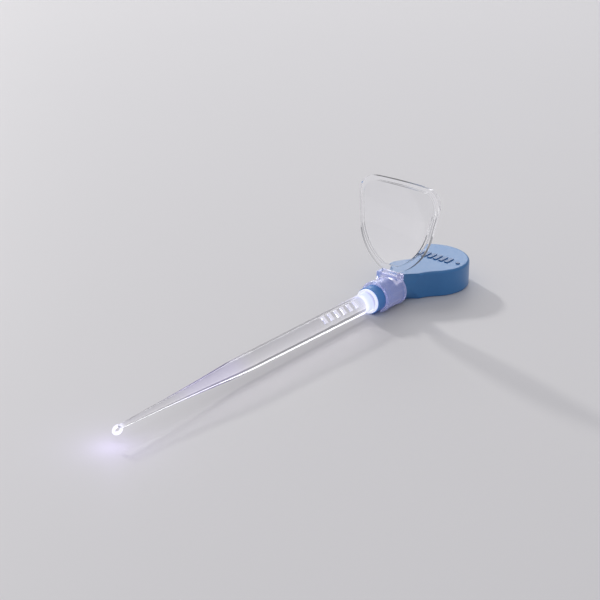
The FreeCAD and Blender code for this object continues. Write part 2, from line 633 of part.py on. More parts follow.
def make_contacts():
    """Negative strip under the cell, and positive strip over it with a finger into the neck."""
    make_strip("negative_contact", [
        ("-contact_tail", "flat_wall"), ("tab_place + sheet_thickness", "flat_wall"),
        ("tab_place + sheet_thickness", "tab_top"), ("tab_place", "tab_top"),
        ("tab_place", "cell_bottom"), ("-contact_tail", "cell_bottom")], "tab_width")
    finger_end = "carrier_back + lead_recess - finger_setback"
    make_strip("positive_contact", [
        ("-contact_tail", "cell_top"), ("step_place + sheet_thickness", "cell_top"),
        ("step_place + sheet_thickness", "finger_bottom"), (finger_end + " - dimple_length", "finger_bottom"),
        (finger_end + " - dimple_length + dimple_ramp", "blade_top + seat_gap / 2"),
        (finger_end + " - dimple_ramp", "blade_top + seat_gap / 2"), (finger_end, "finger_bottom"),
        (finger_end, "finger_top"), ("step_place", "finger_top"),
        ("step_place", "cell_top + sheet_thickness"),
        ("-contact_tail", "cell_top + sheet_thickness")], "finger_width")


# ---------------------------------------------------------------- lamp carrier
def make_lamp_carrier():
    """White slide in the neck that holds the lamp and is pushed back by the curette."""
    body = new_body("lamp_carrier")
    profile = turned_sketch(body, "carrier_profile")
    clear = "lamp_radius + seat_gap"
    draw_polygon(profile, [
        ("carrier_back", "flange_radius + seat_gap"), ("carrier_back", "carrier_radius"),
        ("shoulder_place", "carrier_radius"), ("shoulder_place", "nose_radius"),
        ("nose_front", "nose_radius"), ("nose_front", clear + " + nose_flare"),
        ("lamp_front - flare_start", clear), ("flange_back + flange_length", clear),
        ("flange_back + flange_length", "flange_radius + seat_gap")])
    turn(body, profile, "carrier_turned")
    flat = new_sketch(body, "carrier_flat", "XY_Plane", "blade_bottom")
    draw_rectangle(flat, "carrier_back - overcut", "carrier_back + blade_length + flat_excess",
                   "-carrier_radius", "carrier_radius")
    cut(body, flat, "carrier_top_flat", "carrier_radius", backwards=True)
    slot = new_sketch(body, "carrier_slot", "XY_Plane", "axis_height")
    draw_rectangle(slot, "carrier_back - overcut", "carrier_back + lead_side + seat_gap",
                   "-lead_side / 2 - seat_gap", "lead_side / 2 + seat_gap")
    cut(body, slot, "carrier_lead_slot", "carrier_radius", backwards=False)
    rise = new_sketch(body, "carrier_rise", "XY_Plane", "axis_height")
    draw_rectangle(rise, "carrier_back + lead_side - seat_gap", "carrier_back + 2 * lead_side + seat_gap",
                   "-lead_side / 2 - seat_gap", "lead_side / 2 + seat_gap")
    cut(body, rise, "carrier_lead_rise", "carrier_radius", backwards=True)
    return body


def make_lamp():
    """3 mm lamp with a domed front, and its two leads bent to their contacts."""
    body = new_body("lamp_body")
    sketch = turned_sketch(body, "lamp_profile")
    dome = size("lamp_radius")
    front = size("lamp_front")
    back = size("flange_back")
    lip = size("flange_back + flange_length")
    wide = size("flange_radius")
    corners = [(front - dome, dome), (lip, dome), (lip, wide), (back, wide), (back, 0), (front, 0)]
    spots = [FreeCAD.Vector(x, y, 0) for x, y in corners]
    for start, end in zip(spots, spots[1:]):
        sketch.addGeometry(Part.LineSegment(start, end))
    circle = Part.Circle(FreeCAD.Vector(front - dome, 0, 0), FreeCAD.Vector(0, 0, 1), dome)
    sketch.addGeometry(Part.ArcOfCircle(circle, 0, math.pi / 2))
    link = Sketcher.Constraint
    for item in range(4):
        sketch.addConstraint(link("Coincident", item, 2, item + 1, 1))
    sketch.addConstraint(link("Coincident", 4, 2, 5, 1))
    sketch.addConstraint(link("Coincident", 5, 2, 0, 1))
    fix_point(sketch, 0, 1, "lamp_front - lamp_radius", "lamp_radius")
    fix_point(sketch, 1, 1, "flange_back + flange_length", "lamp_radius")
    fix_point(sketch, 2, 1, "flange_back + flange_length", "flange_radius")
    fix_point(sketch, 3, 1, "flange_back", "flange_radius")
    fix_point(sketch, 4, 1, "flange_back", 0)
    fix_point(sketch, 4, 2, "lamp_front", 0)
    number = sketch.addConstraint(link("Radius", 5, dome))
    sketch.setExpression("Constraints[%d]" % number, expand("lamp_radius"))
    turn(body, sketch, "lamp_turned")

    upper = "axis_height + lead_pitch / 2"
    make_strip("anode_lead", [
        ("flange_back", upper + " - lead_side / 2"), ("flange_back", upper + " + lead_side / 2"),
        ("carrier_back + 2 * lead_side", upper + " + lead_side / 2"),
        ("carrier_back + 2 * lead_side", "blade_bottom"), ("carrier_back + lead_side", "blade_bottom"),
        ("carrier_back + lead_side", upper + " - lead_side / 2")], "lead_side")
    lower = "axis_height - lead_pitch / 2"
    lead_end = "axis_height - spring_mean_radius - spring_wire / 2"
    make_strip("cathode_lead", [
        ("flange_back", lower + " + lead_side / 2"), ("carrier_back", lower + " + lead_side / 2"),
        ("carrier_back", lead_end), ("carrier_back + lead_side", lead_end),
        ("carrier_back + lead_side", lower + " - lead_side / 2"),
        ("flange_back", lower + " - lead_side / 2")], "lead_side")


def make_moving_contact():
    """Blade on the flat of the carrier that meets the finger of the positive contact."""
    body = new_body("moving_contact")
    sketch = new_sketch(body, "blade_outline", "XY_Plane", "blade_bottom")
    draw_rectangle(sketch, "carrier_back + blade_inset", "carrier_back + blade_inset + blade_length",
                   "-blade_width / 2", "blade_width / 2")
    pad(body, sketch, "blade_sheet", "blade_thickness")
    return body


def make_return_spring():
    """Coil spring between the tab of the negative contact and the carrier."""
    helix = doc.addObject("Part::Helix", "spring_path")
    bind(helix, Pitch="(spring_end - spring_start) / spring_turns", Height="spring_end - spring_start",
         Radius="spring_mean_radius")
    section = doc.addObject("Part::Circle", "spring_section")
    bind(section, Radius="spring_wire / 2", Placement__Base__x="spring_mean_radius")
    section.Placement.Rotation = FreeCAD.Rotation(FreeCAD.Vector(1, 0, 0), 90)
    spring = doc.addObject("Part::Sweep", "return_spring")
    spring.Label = "return_spring"
    spring.Sections = [section]
    spring.Spine = helix
    spring.Solid = True
    spring.Frenet = True
    spring.Placement.Rotation = FreeCAD.Rotation(FreeCAD.Vector(0, 1, 0), 90)
    bind(spring, Placement__Base__x="spring_start", Placement__Base__z="axis_height")
    return spring


def make_grip_ring():
    """Soft ring in the neck that holds the curette by friction."""
    ring = doc.addObject("Part::Torus", "grip_ring")
    ring.Label = "grip_ring"
    bind(ring, Radius1="grip_middle", Radius2="grip_cord / 2")
    ring.Placement.Rotation = FreeCAD.Rotation(FreeCAD.Vector(0, 1, 0), 90)
    bind(ring, Placement__Base__x="grip_place", Placement__Base__z="axis_height")
    return ring


def make_neck_ferrule():
    """Clear flanged ring in the mouth of the neck, which glows while the lamp is lit."""
    body = new_body("neck_ferrule")
    profile = turned_sketch(body, "ferrule_profile")
    draw_polygon(profile, [
        ("ferrule_back", "bore_radius"), ("ferrule_back", "ferrule_outer"), ("neck_end", "ferrule_outer"),
        ("neck_end", "neck_radius - ferrule_edge"),
        ("ferrule_front - ferrule_bevel", "neck_radius - ferrule_edge"),
        ("ferrule_front", "neck_radius - ferrule_edge - ferrule_bevel"),
        ("ferrule_front", "bore_radius + mouth_break"), ("ferrule_front - mouth_break", "bore_radius")])
    turn(body, profile, "ferrule_turned")
    return body


def make_insulator_ring():
    """Plastic film that keeps the negative strip off the rim of the cell."""
    return turn_upright("insulator_ring", [
        ("cap_radius + film_gap", "cell_bottom + film_lift"), ("cell_radius", "cell_bottom + film_lift"),
        ("cell_radius", "cell_bottom + film_lift + film_thickness"),
        ("cap_radius + film_gap", "cell_bottom + film_lift + film_thickness")])


def make_case_screws():
    """Two thread-forming screws with hexagon sockets, driven from below."""
    screws = []
    for side, across in (("left", "screw_across"), ("right", "-screw_across")):
        head = doc.addObject("Part::Cylinder", "screw_head_" + side)
        bind(head, Radius="screw_head_radius", Height="screw_head_height",
             Placement__Base__x="screw_along", Placement__Base__y=across,
             Placement__Base__z="screw_recess")
        shank = doc.addObject("Part::Cylinder", "screw_shank_" + side)
        bind(shank, Radius="screw_radius", Height="screw_length - screw_radius",
             Placement__Base__x="screw_along", Placement__Base__y=across,
             Placement__Base__z="screw_recess + screw_head_height")
        point_end = doc.addObject("Part::Cone", "screw_point_" + side)
        bind(point_end, Radius1="screw_radius", Radius2="screw_radius * point_share", Height="screw_radius",
             Placement__Base__x="screw_along", Placement__Base__y=across,
             Placement__Base__z="screw_recess + screw_head_height + screw_length - screw_radius")
        socket = doc.addObject("Part::Prism", "screw_socket_" + side)
        socket.Polygon = 6
        bind(socket, Circumradius="screw_head_radius * socket_width", Height="screw_head_height * socket_depth",
             Placement__Base__x="screw_along", Placement__Base__y=across,
             Placement__Base__z="screw_recess")
        whole = doc.addObject("Part::MultiFuse", "screw_blank_" + side)
        whole.Shapes = [head, shank, point_end]
        screw = doc.addObject("Part::Cut", "screw_" + side)
        screw.Base = whole
        screw.Tool = socket
        screws.append(screw)
    pair = doc.addObject("Part::Compound", "case_screws")
    pair.Label = "case_screws"
    pair.Links = screws
    return pair


# ---------------------------------------------------------------- curette
def make_curette():
    """Clear rod that carries the light to a tilted loop, moulded in one piece."""
    rod = doc.addObject("PartDesign::Body", "curette_rod")
    sketch = turned_sketch(rod, "rod_profile")
    draw_polygon(sketch, [
        ("rod_start", 0), ("rod_start", "rod_radius - rod_chamfer"),
        ("rod_start + rod_chamfer", "rod_radius"), ("neck_end", "rod_radius"),
        ("taper_start", "shaft_end_radius"),
        ("taper_start + shoulder_length", "shaft_end_radius - shoulder_drop"),
        ("rod_end", "tip_radius"), ("rod_end", 0)],
        {4: ("shoulder_curve", -1), 5: ("hollow_curve", 1)})
    turn(rod, sketch, "rod_turned")
    for index in range(int(size("tick_count"))):
        tick = new_sketch(rod, "rod_tick_%d" % index, "XY_Plane", "axis_height")
        start = "tick_first + %d * tick_pitch" % index
        tilt_sketch(tick, "tick_turn")
        draw_rectangle(tick, start, start + " + tick_length", "-tick_width / 2", "tick_width / 2")
        pad(rod, tick, "rod_bar_%d" % index, "rod_radius + tick_height")
    loop = doc.addObject("Part::Torus", "curette_loop")
    bind(loop, Radius1="loop_radius", Radius2="loop_wire")
    loop.Placement.Rotation = FreeCAD.Rotation(FreeCAD.Vector(0, 1, 0), size("loop_tilt"))
    bind(loop, Placement__Base__x="rod_end + loop_radius * cos(loop_tilt)",
         Placement__Base__z="axis_height + loop_lift - loop_radius * sin(loop_tilt)")
    whole = doc.addObject("Part::Fuse", "curette")
    whole.Label = "curette"
    whole.Base = rod
    whole.Tool = loop
    return whole


# ---------------------------------------------------------------- magnifier
def make_lens_collar():
    """Clear snap collar, open underneath, with end beads and a block that holds the lens."""
    body = new_body("lens_collar")
    profile = turned_sketch(body, "collar_profile")
    waist = "collar_radius - collar_waist"
    draw_polygon(profile, [
        ("collar_back", "collar_bore"), ("collar_back", "collar_radius"),
        ("collar_back + bead_length", "collar_radius"), ("collar_back + bead_length", waist),
        ("collar_front - bead_length", waist), ("collar_front - bead_length", "collar_radius"),
        ("collar_front", "collar_radius"), ("collar_front", "collar_bore")])
    turn(body, profile, "collar_turned")
    block = new_sketch(body, "collar_block", "XY_Plane", "axis_height")
    draw_rectangle(block, "lens_place - pedestal_length / 2", "lens_place + pedestal_length / 2",
                   "-pedestal_width / 2", "pedestal_width / 2")
    pad(body, block, "collar_pedestal", "pedestal_top - axis_height")
    bore = turned_sketch(body, "collar_bore_outline")
    draw_rectangle(bore, "collar_back - overcut", "collar_front + overcut", 0, "collar_bore")
    turn(body, bore, "collar_through_bore", "PartDesign::Groove")
    mouth = new_sketch(body, "collar_mouth_outline", "XY_Plane")
    draw_rectangle(mouth, "collar_back - overcut", "collar_front + overcut",
                   "-collar_mouth / 2", "collar_mouth / 2")
    cut(body, mouth, "collar_open_side", "2 * (collar_radius + overcut)", both_ways=True)
    feet = new_sketch(body, "collar_feet_outline", "XY_Plane")
    draw_rectangle(feet, "collar_back - overcut", "collar_front + overcut",
                   "-collar_radius - overcut", "collar_radius + overcut")
    cut(body, feet, "collar_flat_feet", "collar_radius")
    slot = leaning_sketch(body, "collar_slot_outline")
    draw_rectangle(slot, "-foot_half_width - seat_gap", "foot_half_width + seat_gap",
                   "foot_bottom - seat_gap", "pedestal_top")
    cut(body, slot, "collar_lens_slot", "lens_thickness + 2 * seat_gap", both_ways=True)
    return body


def leaning_sketch(body, name):
    """A sketch on the middle plane of the magnifier, which leans back over the case."""
    sketch = new_sketch(body, name, "YZ_Plane", "lens_place")
    sketch.setExpression("AttachmentOffset.Base.y", expand("lens_datum"))
    tilt_sketch(sketch, "lens_lean")
    return sketch


def draw_lens_outline(sketch, bottom, foot_height, inset):
    """Shield-shaped outline: a foot, two bowed lower curves, straight sides and a bowed top."""
    corners = [("foot_half_width", bottom), ("foot_half_width", foot_height),
               ("shoulder_half_width" + inset, "shoulder_height"),
               ("corner_half_width" + inset, "corner_height" + inset)]
    mirrored = [("-(" + x + ")", y) for x, y in reversed(corners)]
    corners += mirrored
    arcs = {1: ("shoulder_bow", 1), 3: ("crown_radius", 1), 5: ("shoulder_bow", 1)}
    draw_polygon(sketch, corners, arcs)


def make_lens_part(name, bottom, foot_height, inset, thickness):
    """A plate of the lens outline, with inset added to its half widths and its top."""
    body = doc.addObject("PartDesign::Body", name)
    sketch = leaning_sketch(body, name + "_outline")
    draw_lens_outline(sketch, bottom, foot_height, inset)
    pad(body, sketch, name + "_pad", thickness, both_ways=True)
    top = size("corner_height" + inset + " - corner_round")
    plane = sketch.getGlobalPlacement().inverse()

    def top_corner(edge):
        ends = [plane.multVec(vertex.Point) for vertex in edge.Vertexes]
        along = len(ends) == 2 and abs(ends[0].x - ends[1].x) < 1e-4 and abs(ends[0].y - ends[1].y) < 1e-4
        return along and ends[0].y > top

    soften(body, "Fillet", name + "_corners", "corner_round", top_corner)
    return body


def make_magnifier_lens():
    """Clear plate with a domed face on each side inside its flat rim."""
    plate = make_lens_part("lens_plate", "foot_bottom", "foot_top", "", "lens_thickness")
    domed = make_lens_part("lens_face", "face_bottom", "face_bottom + face_edge", " - lens_rim",
                           "lens_thickness + 2 * lens_bulge")
    for side, sign in (("front", "-"), ("back", "+")):
        dome = doc.addObject("Part::Sphere", "lens_dome_" + side)
        along = "lens_place %s dome_reach * cos(lens_lean) - face_middle * sin(lens_lean)" % sign
        up = "lens_datum + face_middle * cos(lens_lean) %s dome_reach * sin(lens_lean)" % sign
        bind(dome, Radius="lens_dome", Placement__Base__x=along, Placement__Base__z=up)
        low_dome = doc.addObject("Part::Common", "lens_" + side)
        low_dome.Base = domed
        low_dome.Tool = dome
        low_dome.Refine = False
        domed = low_dome
    lens = doc.addObject("Part::Fuse", "magnifier_lens")
    lens.Label = "magnifier_lens"
    lens.Base = plate
    lens.Tool = domed
    return lens


# ---------------------------------------------------------------- build, check and write
for make in (make_lower_shell, make_upper_shell, make_case_screws, make_cell_cradle, make_cell,
             make_insulator_ring, make_contacts, make_return_spring, make_grip_ring, make_neck_ferrule,
             make_lamp_carrier, make_lamp, make_moving_contact, make_curette, make_lens_collar,
             make_magnifier_lens):
    make()
    doc.recompute()

NODES = ["lower_shell", "upper_shell", "case_screws", "cell_cradle", "cell_can", "cell_cap",
         "cell_gasket", "insulator_ring", "negative_contact", "positive_contact", "return_spring",
         "grip_ring", "neck_ferrule", "lamp_carrier", "lamp_body", "anode_lead", "cathode_lead",
         "moving_contact", "curette", "lens_collar", "magnifier_lens"]

for item in doc.Objects:
    if "Invalid" in item.State or "Error" in item.State:
        raise RuntimeError(item.Name + " did not build: " + str(item.State))

os.makedirs("parts", exist_ok=True)
for node in NODES:
    item = doc.getObjectsByLabel(node)[0]
    shape = item.Shape
    if shape.isNull() or not shape.isValid() or not shape.Solids:
        raise RuntimeError(node + " has no valid solid")
    shape.exportStep("parts/%s.step" % node)
    box = shape.BoundBox
    print("%-18s solids %d  volume %9.2f  x %7.2f %7.2f  y %7.2f %7.2f  z %6.2f %6.2f" % (
        node, len(shape.Solids), shape.Volume, box.XMin, box.XMax, box.YMin, box.YMax, box.ZMin, box.ZMax))
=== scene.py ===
import bpy
import bmesh
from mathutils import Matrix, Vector


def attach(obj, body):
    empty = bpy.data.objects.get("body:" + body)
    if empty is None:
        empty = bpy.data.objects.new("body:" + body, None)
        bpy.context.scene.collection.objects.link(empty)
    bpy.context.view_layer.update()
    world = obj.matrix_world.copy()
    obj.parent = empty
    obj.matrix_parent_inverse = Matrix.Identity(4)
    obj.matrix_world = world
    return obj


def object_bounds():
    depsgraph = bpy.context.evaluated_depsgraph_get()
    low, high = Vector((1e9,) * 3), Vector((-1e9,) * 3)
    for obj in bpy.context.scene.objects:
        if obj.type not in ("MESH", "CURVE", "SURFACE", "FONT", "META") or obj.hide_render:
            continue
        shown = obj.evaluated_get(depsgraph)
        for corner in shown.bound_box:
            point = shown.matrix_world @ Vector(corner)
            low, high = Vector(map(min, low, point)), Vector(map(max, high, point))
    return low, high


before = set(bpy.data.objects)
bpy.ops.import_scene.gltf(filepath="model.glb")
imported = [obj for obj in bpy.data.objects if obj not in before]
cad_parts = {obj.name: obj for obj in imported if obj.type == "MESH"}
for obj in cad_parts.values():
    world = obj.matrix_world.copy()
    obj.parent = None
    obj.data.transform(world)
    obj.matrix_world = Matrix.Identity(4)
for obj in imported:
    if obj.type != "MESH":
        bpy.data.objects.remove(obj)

MM = 0.001
cad_low, cad_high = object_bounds()
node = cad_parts

# ---------------------------------------------------------------- table top
# A pale matt laminate table that the light lies on. It runs far behind the light, so that no edge
# of it shows, and it has the faint cloudiness of a pressed sheet.
def start_finish(name):
    """A new material with nothing but a Principled shader, its output and its Object coordinates."""
    finish = bpy.data.materials.new(name)
    finish.use_nodes = True
    tree = finish.node_tree
    shader = tree.nodes["Principled BSDF"]
    place = tree.nodes.new("ShaderNodeTexCoord").outputs["Object"]
    return finish, tree, shader, place


def group_sockets(group, inputs, outputs):
    """Gives a node group its named sockets and returns its two end nodes."""
    for name, kind, value in inputs:
        socket = group.interface.new_socket(name, in_out="INPUT", socket_type="NodeSocket" + kind)
        if value is not None:
            socket.default_value = value
    for name, kind in outputs:
        group.interface.new_socket(name, in_out="OUTPUT", socket_type="NodeSocket" + kind)
    return group.nodes.new("NodeGroupInput"), group.nodes.new("NodeGroupOutput")


cloud = bpy.data.node_groups.new("moulded_cloud", "ShaderNodeTree")
cloud_in, cloud_out = group_sockets(
    cloud,
    [("Place", "Vector", None), ("Size", "Float", 100.0), ("Low", "Float", 0.3), ("High", "Float", 0.4)],
    [("Value", "Float"), ("Height", "Float")])
cloud_noise = cloud.nodes.new("ShaderNodeTexNoise")
cloud_noise.inputs["Detail"].default_value = 3.0
cloud_range = cloud.nodes.new("ShaderNodeMapRange")
cloud_range.inputs["From Min"].default_value = 0.3
cloud_range.inputs["From Max"].default_value = 0.7
cloud.links.new(cloud_in.outputs["Place"], cloud_noise.inputs["Vector"])
cloud.links.new(cloud_in.outputs["Size"], cloud_noise.inputs["Scale"])
cloud.links.new(cloud_noise.outputs["Fac"], cloud_range.inputs["Value"])
cloud.links.new(cloud_in.outputs["Low"], cloud_range.inputs["To Min"])
cloud.links.new(cloud_in.outputs["High"], cloud_range.inputs["To Max"])
cloud.links.new(cloud_range.outputs["Result"], cloud_out.inputs["Value"])
cloud.links.new(cloud_noise.outputs["Fac"], cloud_out.inputs["Height"])


def add_cloud(tree, shader, place, size, low, high, depth=0.0):
    """Uneven roughness from low to high, and a bump of that depth, from cloud of a given fineness."""
    made = tree.nodes.new("ShaderNodeGroup")
    made.node_tree = cloud
    made.inputs["Size"].default_value = size
    made.inputs["Low"].default_value = low
    made.inputs["High"].default_value = high
    tree.links.new(place, made.inputs["Place"])
    tree.links.new(made.outputs["Value"], shader.inputs["Roughness"])
    if depth:
        bump = tree.nodes.new("ShaderNodeBump")
        bump.inputs["Distance"].default_value = depth
        tree.links.new(made.outputs["Height"], bump.inputs["Height"])
        tree.links.new(bump.outputs["Normal"], shader.inputs["Normal"])
    return made


def tint(tree, mask, low, high):
    """A colour that goes from low to high as the mask goes from 0 to 1."""
    mix = tree.nodes.new("ShaderNodeMix")
    mix.data_type = "RGBA"
    mix.inputs["A"].default_value = (*low, 1)
    mix.inputs["B"].default_value = (*high, 1)
    tree.links.new(mask, mix.inputs["Factor"])
    return mix.outputs["Result"]


table_mesh = bpy.data.meshes.new("table_top")
table_form = bmesh.new()
bmesh.ops.create_grid(table_form, x_segments=2, y_segments=2, size=6.0)
table_form.to_mesh(table_mesh)
table_form.free()
table = bpy.data.objects.new("table_top", table_mesh)
bpy.context.scene.collection.objects.link(table)
laminate, tree, shader, place = start_finish("pale_laminate")
laminate_cloud = add_cloud(tree, shader, place, 8.0, 0.5, 0.6)
tree.links.new(tint(tree, laminate_cloud.outputs["Height"], (0.70, 0.69, 0.71), (0.74, 0.735, 0.75)),
               shader.inputs["Base Color"])
shader.inputs["Specular IOR Level"].default_value = 0.2
table_mesh.materials.append(laminate)

# ---------------------------------------------------------------- studio light and camera
# One hard low lamp on the left, a wide reflector behind the light, and daylight that is brighter
# from above than from the sides. The camera looks down on the loop end from the front.
world = bpy.data.worlds.new("even_daylight")
world.use_nodes = True
bpy.context.scene.world = world
sky = world.node_tree.nodes["Background"]
sky.inputs["Strength"].default_value = 0.52
tree = world.node_tree
sky_place = tree.nodes.new("ShaderNodeTexCoord")
ceiling = tree.nodes.new("ShaderNodeSeparateXYZ")
tree.links.new(sky_place.outputs["Generated"], ceiling.inputs["Vector"])
ceiling_range = tree.nodes.new("ShaderNodeMapRange")
tree.links.new(ceiling.outputs["Z"], ceiling_range.inputs["Value"])
tree.links.new(tint(tree, ceiling_range.outputs["Result"], (0.50, 0.50, 0.53), (1.25, 1.24, 1.27)),
               sky.inputs["Color"])
bpy.context.scene.view_settings.view_transform = "Standard"


def add_window(name, direction, distance, width, height, power, colour):
    """A rectangular soft light at that distance, facing the middle of the object."""
    lamp = bpy.data.lights.new(name, "AREA")
    lamp.shape = "RECTANGLE"
    lamp.size = width
    lamp.size_y = height
    lamp.energy = power
    lamp.color = colour
    window = bpy.data.objects.new(name, lamp)
    bpy.context.scene.collection.objects.link(window)
    middle = (cad_low + cad_high) / 2
    back = Vector(direction).normalized()
    window.location = middle + back * distance
    window.rotation_mode = "QUATERNION"
    window.rotation_quaternion = back.to_track_quat("Z", "Y")


add_window("low_window", (-0.36, -0.86, 0.38), 3.0, 0.20, 0.20, 40.0, (1.0, 0.985, 0.96))
add_window("wide_reflector", (-0.70, -0.56, 0.46), 3.2, 2.4, 1.2, 22.0, (0.97, 0.98, 1.0))

camera_data = bpy.data.cameras.new("camera")
camera_data.lens = 94.32
camera_data.sensor_width = 36.0
camera_data.clip_start = 0.01
camera_data.clip_end = 30.0
camera = bpy.data.objects.new("camera", camera_data)
bpy.context.scene.collection.objects.link(camera)
camera.location = (0.39162, 0.26877, 0.19875)
camera.rotation_mode = "QUATERNION"
camera.rotation_quaternion = Vector((-0.70694, -0.58458, -0.39812)).to_track_quat("-Z", "Y")
bpy.context.scene.camera = camera

# ---------------------------------------------------------------- case halves
# Two halves of the handle, moulded in blue plastic with a fine satin grain and screwed together.
# The raised marks are coloured a darker blue, and a glow is painted on the front of the neck as a faint
# emission, where the lamp's light would shine through.
CASE_TOP = 8.6 * MM
AXIS = 4.3 * MM
NECK_FRONT = 33.4 * MM
NECK_PAINTED_GLOW_START = 17 * MM
MARK_START = CASE_TOP + 0.02 * MM
MARK_FULL = CASE_TOP + 0.12 * MM

stretch = bpy.data.node_groups.new("mask_along", "ShaderNodeTree")
stretch_in, stretch_out = group_sockets(
    stretch, [("Place", "Vector", None), ("Zero", "Float", 0.0), ("One", "Float", 1.0)],
    [("Along", "Float"), ("Up", "Float"), ("Out", "Float")])
stretch_parts = stretch.nodes.new("ShaderNodeSeparateXYZ")
stretch.links.new(stretch_in.outputs["Place"], stretch_parts.inputs["Vector"])
stretch_across = stretch.nodes.new("ShaderNodeVectorMath")
stretch_across.operation = "MULTIPLY_ADD"
stretch_across.inputs[1].default_value = (0, 1, 1)
stretch_across.inputs[2].default_value = (0, 0, -AXIS)
stretch_out_from = stretch.nodes.new("ShaderNodeVectorMath")
stretch_out_from.operation = "LENGTH"
stretch.links.new(stretch_in.outputs["Place"], stretch_across.inputs[0])
stretch.links.new(stretch_across.outputs["Vector"], stretch_out_from.inputs[0])
for socket, measure in (("Along", stretch_parts.outputs["X"]), ("Up", stretch_parts.outputs["Z"]),
                        ("Out", stretch_out_from.outputs["Value"])):
    stretch_range = stretch.nodes.new("ShaderNodeMapRange")
    stretch_range.interpolation_type = "SMOOTHSTEP"
    stretch.links.new(measure, stretch_range.inputs["Value"])
    stretch.links.new(stretch_in.outputs["Zero"], stretch_range.inputs["From Min"])
    stretch.links.new(stretch_in.outputs["One"], stretch_range.inputs["From Max"])
    stretch.links.new(stretch_range.outputs["Result"], stretch_out.inputs[socket])


def mask(tree, place, socket, zero, one):
    """A mask along the object, up it or out from its axis, that is 0 at one place and 1 at another."""
    made = tree.nodes.new("ShaderNodeGroup")
    made.node_tree = stretch
    made.inputs["Zero"].default_value = zero
    made.inputs["One"].default_value = one
    tree.links.new(place, made.inputs["Place"])
    return made.outputs[socket]


def join(tree, how, first, second):
    """Two masks multiplied or added."""
    made = tree.nodes.new("ShaderNodeMath")
    made.operation = how
    made.use_clamp = True
    tree.links.new(first, made.inputs[0])
    tree.links.new(second, made.inputs[1])
    return made.outputs["Value"]


def paint(finish, *names):
    """Puts a finish on the named pieces."""
    for name in names:
        node[name].data.materials.clear()
        node[name].data.materials.append(finish)


blue, tree, shader, place = start_finish("blue_case_plastic")
blue_cloud = add_cloud(tree, shader, place, 900.0, 0.30, 0.40, 0.004 * MM)
blue_body = tint(tree, blue_cloud.outputs["Height"], (0.038, 0.205, 0.510), (0.045, 0.220, 0.535))
# The raised marks are coloured a darker blue than the rest of the case.
blue_marks = tree.nodes.new("ShaderNodeMix")
blue_marks.data_type = "RGBA"
blue_marks.inputs["B"].default_value = (0.026, 0.130, 0.350, 1)
tree.links.new(blue_body, blue_marks.inputs["A"])
tree.links.new(mask(tree, place, "Up", MARK_START, MARK_FULL), blue_marks.inputs["Factor"])
tree.links.new(blue_marks.outputs["Result"], shader.inputs["Base Color"])
# Painted glow: a faint blue emission on the front of the neck, in place of the lamp's light shining through
# the plastic.
neck_painted_glow = mask(tree, place, "Along", NECK_PAINTED_GLOW_START, NECK_FRONT + 1 * MM)
tree.links.new(tint(tree, neck_painted_glow, (0, 0, 0), (0.10, 0.24, 0.85)), shader.inputs["Emission Color"])
shader.inputs["Emission Strength"].default_value = 0.12
shader.inputs["IOR"].default_value = 1.5
shader.inputs["Coat Weight"].default_value = 0.35
shader.inputs["Coat Roughness"].default_value = 0.35
paint(blue, "lower_shell", "upper_shell")

# ---------------------------------------------------------------- case screws
# Two small countersunk self-tapping screws, zinc-plated steel, driven up from the underside.
# Their heads sit below the surface of the case.
zinc, tree, shader, place = start_finish("zinc_plated_steel")
zinc_cloud = add_cloud(tree, shader, place, 2500.0, 0.28, 0.42)
tree.links.new(tint(tree, zinc_cloud.outputs["Height"], (0.46, 0.47, 0.50), (0.60, 0.60, 0.61)),
               shader.inputs["Base Color"])
shader.inputs["Metallic"].default_value = 1.0
paint(zinc, "case_screws")

# ---------------------------------------------------------------- cell cradle
# A white polypropylene ring that keeps the cell in the middle of the head.
# It is a plain loose moulding with a soft sheen.
white, tree, shader, place = start_finish("white_polypropylene")
white_cloud = add_cloud(tree, shader, place, 700.0, 0.42, 0.55, 0.003 * MM)
tree.links.new(tint(tree, white_cloud.outputs["Height"], (0.76, 0.76, 0.73), (0.83, 0.83, 0.81)),
               shader.inputs["Base Color"])
shader.inputs["Subsurface Weight"].default_value = 0.15
shader.inputs["Subsurface Radius"].default_value = (0.001, 0.001, 0.001)
paint(white, "cell_cradle", "lamp_carrier")

# ---------------------------------------------------------------- coin cell
# A lithium coin cell: a pressed stainless can, a smaller cap, and the nylon gasket that the can's
# rim is crimped over. The steel is drawn sheet with fine rubbed lines.
drawn, tree, shader, place = start_finish("drawn_stainless_sheet")
drawn_lines = tree.nodes.new("ShaderNodeMapping")
drawn_lines.inputs["Scale"].default_value = (60.0, 4000.0, 400.0)
tree.links.new(place, drawn_lines.inputs["Vector"])
drawn_cloud = add_cloud(tree, shader, drawn_lines.outputs["Vector"], 1.0, 0.20, 0.36)
tree.links.new(tint(tree, drawn_cloud.outputs["Height"], (0.62, 0.62, 0.63), (0.74, 0.74, 0.745)),
               shader.inputs["Base Color"])
shader.inputs["Metallic"].default_value = 1.0
paint(drawn, "cell_can", "cell_cap")
nylon, tree, shader, place = start_finish("dark_nylon")
nylon_cloud = add_cloud(tree, shader, place, 1500.0, 0.45, 0.6)
tree.links.new(tint(tree, nylon_cloud.outputs["Height"], (0.020, 0.022, 0.030), (0.035, 0.037, 0.045)),
               shader.inputs["Base Color"])
paint(nylon, "cell_gasket")

# ---------------------------------------------------------------- insulating ring
# A thin die-cut ring of amber polyimide film between the cell's cap side and the case.
# It is smooth and slightly clear.
film, tree, shader, place = start_finish("amber_film")
film_cloud = add_cloud(tree, shader, place, 600.0, 0.18, 0.30)
tree.links.new(tint(tree, film_cloud.outputs["Height"], (0.62, 0.40, 0.10), (0.70, 0.48, 0.15)),
               shader.inputs["Base Color"])
paint(film, "insulator_ring")

